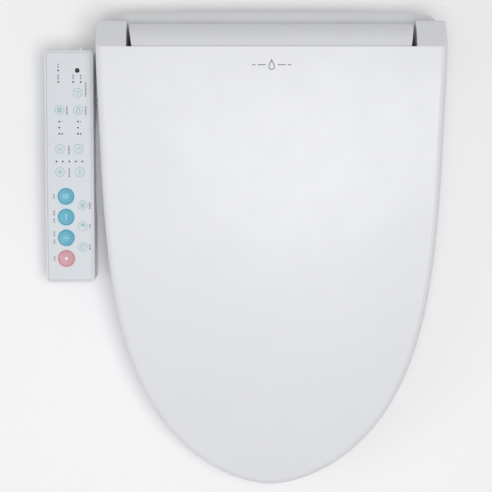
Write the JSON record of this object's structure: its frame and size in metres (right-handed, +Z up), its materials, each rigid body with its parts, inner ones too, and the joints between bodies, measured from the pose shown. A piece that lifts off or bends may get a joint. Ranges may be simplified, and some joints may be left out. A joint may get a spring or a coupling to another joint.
{
  "type": "electric bidet seat",
  "caption": "White electric bidet toilet seat with soft-close lid and heated seat, retracting nozzles, dryer and a side-mounted push-button control panel.",
  "frame": {"origin": "middle of the two mounting bolts, on the plane of the toilet bowl's rim", "axes": "+Z up, +Y to the back (tank side), +X to the side away from the control panel; the user faces -Y"},
  "size_m": [0.4452, 0.5321, 0.1433],
  "materials": {
    "body_plastic": "satin-gloss moulded ABS, bright white",
    "base_plastic": "satin moulded ABS, white",
    "panel_film": "smooth printed film, cool white",
    "button_blue": "soft-touch blue",
    "button_pink": "soft-touch pink",
    "button_pale": "soft-touch pale blue-green",
    "power_grey": "glossy light grey",
    "indicator_clear": "translucent indicator",
    "sensor_dark": "smoked window",
    "rubber_grey": "soft grey rubber",
    "steel": "bright steel",
    "motor_steel": "plated steel can",
    "damper_black": "black nylon",
    "plate_plastic": "white glass-filled nylon",
    "latch_grey": "light grey moulded",
    "brass_fitting": "turned brass",
    "inner_plastic": "natural moulded plastic",
    "nozzle_plastic": "glossy white",
    "gear_acetal": "natural acetal",
    "flap_plastic": "white moulded",
    "filter_case": "dark grey case",
    "board_green": "green laminate",
    "relay_black": "black moulded",
    "heating_foil": "thin foil"
  },
  "bodies": {
    "main_unit": {"base_housing": "base_plastic", "top_cover": "body_plastic", "housing_screws": "steel", "unit_feet": "rubber_grey", "mounting_plate": "plate_plastic", "lid_damper": "damper_black", "seat_damper": "damper_black", "water_inlet": "brass_fitting", "inlet_valve": "inner_plastic", "water_tank": "inner_plastic", "water_heater": "steel", "water_pump": "inner_plastic", "nozzle_cradle": "inner_plastic", "nozzle_motors": "motor_steel", "blower_housing": "inner_plastic", "blower_motor": "motor_steel", "deodoriser_housing": "inner_plastic", "main_board": "board_green", "power_relay": "relay_black", "cord_gland": "rubber_grey", "panel_cover": "body_plastic", "panel_overlay": "panel_film", "panel_base": "base_plastic", "panel_screws": "steel", "panel_board": "board_green", "indicator_leds": "indicator_clear", "sensor_window": "sensor_dark", "panel_bracket": "base_plastic"},
    "seat": {"seat_top": "body_plastic", "seat_base": "base_plastic", "seat_bumpers": "rubber_grey", "seat_heater": "heating_foil", "seat_hinge_pin": "steel"},
    "lid": {"lid_shell": "body_plastic", "lid_bumpers": "rubber_grey", "lid_hinge_pin": "steel"},
    "nozzle_rear_wash": {"nozzle_rear_wash": "nozzle_plastic"},
    "nozzle_front_wash": {"nozzle_front_wash": "nozzle_plastic"},
    "pinion_rear_wash": {"pinion_rear_wash": "gear_acetal"},
    "pinion_front_wash": {"pinion_front_wash": "gear_acetal"},
    "blower_fan": {"blower_fan": "gear_acetal"},
    "dryer_flap": {"dryer_flap": "flap_plastic"},
    "deodoriser_fan": {"deodoriser_fan": "gear_acetal"},
    "filter_cartridge": {"filter_cartridge": "filter_case"},
    "release_latch": {"release_latch": "latch_grey"},
    "power_button": {"power_button": "power_grey"},
    "button_dry": {"button_dry": "button_blue"},
    "button_front_wash": {"button_front_wash": "button_blue"},
    "button_rear_wash": {"button_rear_wash": "button_blue"},
    "button_stop": {"button_stop": "button_pink"},
    "button_nozzle_clean": {"button_nozzle_clean": "button_pale"},
    "button_seat_heat": {"button_seat_heat": "button_pale"},
    "button_water_heat": {"button_water_heat": "button_pale"},
    "button_nozzle_back": {"button_nozzle_back": "button_pale"},
    "button_nozzle_forward": {"button_nozzle_forward": "button_pale"},
    "button_pressure_up": {"button_pressure_up": "button_pale"},
    "button_pressure_down": {"button_pressure_down": "button_pale"},
    "button_massage": {"button_massage": "button_pale"},
    "button_pulse": {"button_pulse": "button_pale"},
    "button_auto": {"button_auto": "button_pale"}
  },
  "joints": [
    {"name": "seat_hinge", "type": "hinge", "parent": "main_unit", "child": "seat", "pos_m": [0, -0.006, 0.1], "axis": [1, 0, 0], "range_deg": [-93, 0]},
    {"name": "lid_hinge", "type": "hinge", "parent": "seat", "child": "lid", "pos_m": [0, -0.006, 0.1], "axis": [-1, 0, 0], "range_deg": [0, 100]},
    {"name": "nozzle_rear_wash_slide", "type": "slide", "parent": "main_unit", "child": "nozzle_rear_wash", "axis": [0, -0.9397, -0.342], "range_m": [0, 0.096]},
    {"name": "pinion_rear_wash_spin", "type": "hinge", "parent": "main_unit", "child": "pinion_rear_wash", "pos_m": [-0.011, -0.07657, 0.02535], "axis": [1, 0, 0], "range_deg": [-1, 787]},
    {"name": "nozzle_front_wash_slide", "type": "slide", "parent": "main_unit", "child": "nozzle_front_wash", "axis": [0, -0.9397, -0.342], "range_m": [0, 0.096]},
    {"name": "pinion_front_wash_spin", "type": "hinge", "parent": "main_unit", "child": "pinion_front_wash", "pos_m": [0.011, -0.07657, 0.02535], "axis": [1, 0, 0], "range_deg": [-1, 787]},
    {"name": "blower_fan_spin", "type": "hinge", "parent": "main_unit", "child": "blower_fan", "pos_m": [0.049, -0.009, 0.084], "axis": [1, 0, 0], "continuous": true},
    {"name": "dryer_flap_hinge", "type": "hinge", "parent": "main_unit", "child": "dryer_flap", "pos_m": [0.05, -0.1154, 0.0405], "axis": [-1, 0, 0], "range_deg": [0, 55]},
    {"name": "deodoriser_fan_spin", "type": "hinge", "parent": "main_unit", "child": "deodoriser_fan", "pos_m": [0.118, 0.019, 0.027], "axis": [1, 0, 0], "continuous": true},
    {"name": "filter_slide", "type": "slide", "parent": "main_unit", "child": "filter_cartridge", "axis": [1, 0, 0], "range_m": [0, 0.062]},
    {"name": "latch_press", "type": "slide", "parent": "main_unit", "child": "release_latch", "axis": [-1, 0, 0], "range_m": [0, 0.003], "stiffness_N_per_m": 900, "springref_m": -0.002},
    {"name": "power_button_press", "type": "slide", "parent": "main_unit", "child": "power_button", "axis": [0, -0.9963, -0.0854], "range_m": [0, 0.001], "stiffness_N_per_m": 500, "springref_m": -0.0005},
    {"name": "button_dry_press", "type": "slide", "parent": "main_unit", "child": "button_dry", "axis": [0, 0.0854, -0.9963], "range_m": [0, 0.001], "stiffness_N_per_m": 500, "springref_m": -0.0005},
    {"name": "button_front_wash_press", "type": "slide", "parent": "main_unit", "child": "button_front_wash", "axis": [0, 0.0854, -0.9963], "range_m": [0, 0.001], "stiffness_N_per_m": 500, "springref_m": -0.0005},
    {"name": "button_rear_wash_press", "type": "slide", "parent": "main_unit", "child": "button_rear_wash", "axis": [0, 0.0854, -0.9963], "range_m": [0, 0.001], "stiffness_N_per_m": 500, "springref_m": -0.0005},
    {"name": "button_stop_press", "type": "slide", "parent": "main_unit", "child": "button_stop", "axis": [0, 0.0854, -0.9963], "range_m": [0, 0.001], "stiffness_N_per_m": 500, "springref_m": -0.0005},
    {"name": "button_nozzle_clean_press", "type": "slide", "parent": "main_unit", "child": "button_nozzle_clean", "axis": [0, 0.0854, -0.9963], "range_m": [0, 0.001], "stiffness_N_per_m": 500, "springref_m": -0.0005},
    {"name": "button_seat_heat_press", "type": "slide", "parent": "main_unit", "child": "button_seat_heat", "axis": [0, 0.0854, -0.9963], "range_m": [0, 0.001], "stiffness_N_per_m": 500, "springref_m": -0.0005},
    {"name": "button_water_heat_press", "type": "slide", "parent": "main_unit", "child": "button_water_heat", "axis": [0, 0.0854, -0.9963], "range_m": [0, 0.001], "stiffness_N_per_m": 500, "springref_m": -0.0005},
    {"name": "button_nozzle_back_press", "type": "slide", "parent": "main_unit", "child": "button_nozzle_back", "axis": [0, 0.0854, -0.9963], "range_m": [0, 0.001], "stiffness_N_per_m": 500, "springref_m": -0.0005},
    {"name": "button_nozzle_forward_press", "type": "slide", "parent": "main_unit", "child": "button_nozzle_forward", "axis": [0, 0.0854, -0.9963], "range_m": [0, 0.001], "stiffness_N_per_m": 500, "springref_m": -0.0005},
    {"name": "button_pressure_up_press", "type": "slide", "parent": "main_unit", "child": "button_pressure_up", "axis": [0, 0.0854, -0.9963], "range_m": [0, 0.001], "stiffness_N_per_m": 500, "springref_m": -0.0005},
    {"name": "button_pressure_down_press", "type": "slide", "parent": "main_unit", "child": "button_pressure_down", "axis": [0, 0.0854, -0.9963], "range_m": [0, 0.001], "stiffness_N_per_m": 500, "springref_m": -0.0005},
    {"name": "button_massage_press", "type": "slide", "parent": "main_unit", "child": "button_massage", "axis": [0, 0.0854, -0.9963], "range_m": [0, 0.001], "stiffness_N_per_m": 500, "springref_m": -0.0005},
    {"name": "button_pulse_press", "type": "slide", "parent": "main_unit", "child": "button_pulse", "axis": [0, 0.0854, -0.9963], "range_m": [0, 0.001], "stiffness_N_per_m": 500, "springref_m": -0.0005},
    {"name": "button_auto_press", "type": "slide", "parent": "main_unit", "child": "button_auto", "axis": [0, 0.0854, -0.9963], "range_m": [0, 0.001], "stiffness_N_per_m": 500, "springref_m": -0.0005}
  ],
  "couplings": [
    {"joint": "pinion_rear_wash_spin", "follows": "nozzle_rear_wash_slide", "rad_per_m": 142.86},
    {"joint": "pinion_front_wash_spin", "follows": "nozzle_front_wash_slide", "rad_per_m": 142.86}
  ]
}
